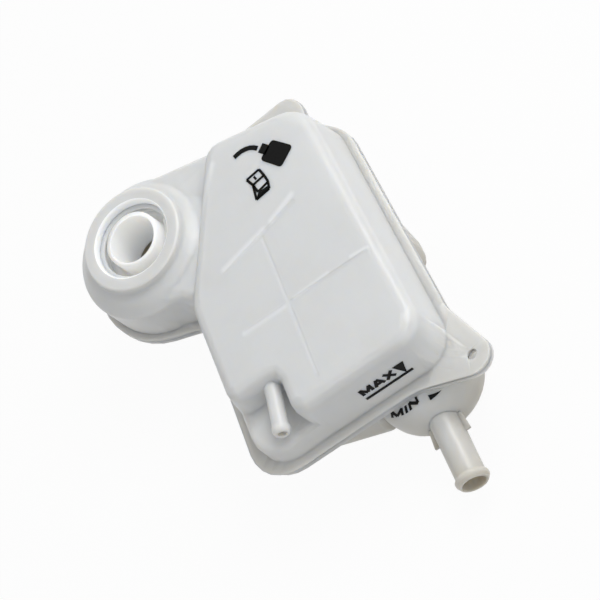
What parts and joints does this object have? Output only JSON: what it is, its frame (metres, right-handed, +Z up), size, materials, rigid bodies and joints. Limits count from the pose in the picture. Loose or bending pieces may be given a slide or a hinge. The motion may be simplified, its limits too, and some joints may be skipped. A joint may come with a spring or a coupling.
{
  "type": "coolant expansion tank",
  "caption": "Flat coolant expansion tank of welded half shells in milky plastic, with an uncapped filler turret, a small vent nipple, a beaded hose nipple and a screw ear.",
  "frame": {"origin": "middle of the box's base, on the surface that the tank's flat bottom stands on", "axes": "+Z up along the filler bore, +Y along the body from the hose nipple at the front to the back tab, +X across the body away from the filler turret"},
  "size_m": [0.2123, 0.2782, 0.0885],
  "materials": {
    "upper_plastic": "natural milky translucent polypropylene, satin",
    "lower_plastic": "natural milky translucent polypropylene, satin"
  },
  "bodies": {
    "root": {"upper_shell": "upper_plastic", "lower_shell": "lower_plastic"}
  },
  "joints": []
}
